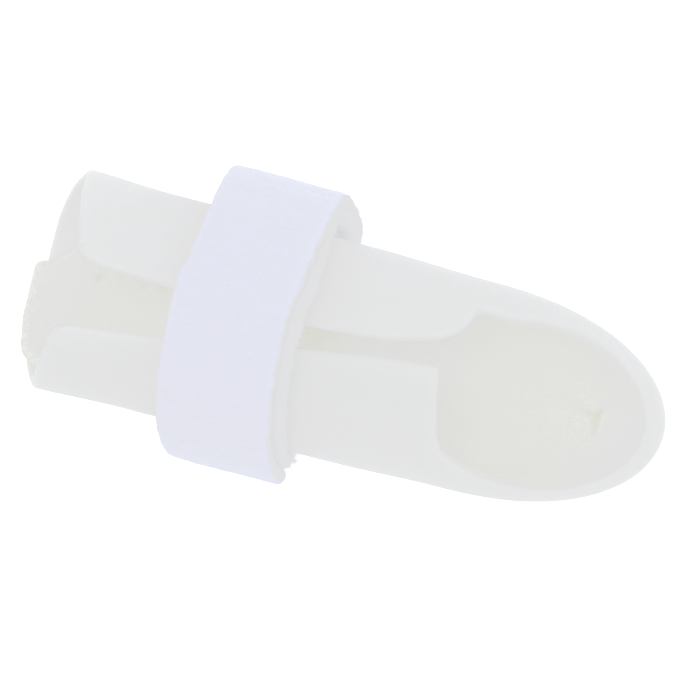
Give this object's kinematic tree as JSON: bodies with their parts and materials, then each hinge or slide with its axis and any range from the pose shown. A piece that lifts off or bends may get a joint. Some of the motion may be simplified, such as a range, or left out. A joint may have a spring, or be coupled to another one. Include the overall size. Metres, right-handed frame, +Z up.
{
  "type": "finger splint",
  "caption": "Foam-lined mallet-type finger splint: milky plastic tube with a closed rounded tip, dorsal slit and nail window, wound with a loose white hook-and-loop strap.",
  "frame": {"origin": "middle of the footprint, on the surface that the splint rests on", "axes": "+X towards the fingertip end, +Y to one side, +Z up, away from the palm side"},
  "size_m": [0.0652, 0.0292, 0.0284],
  "materials": {
    "milky_plastic": "satin, translucent white moulded plastic",
    "cream_foam": "fine open-celled cream foam",
    "white_tape": "brushed loop pile, slightly bluish white"
  },
  "bodies": {
    "root": {"splint_shell": "milky_plastic", "foam_lining": "cream_foam", "strap": "white_tape"}
  },
  "joints": []
}
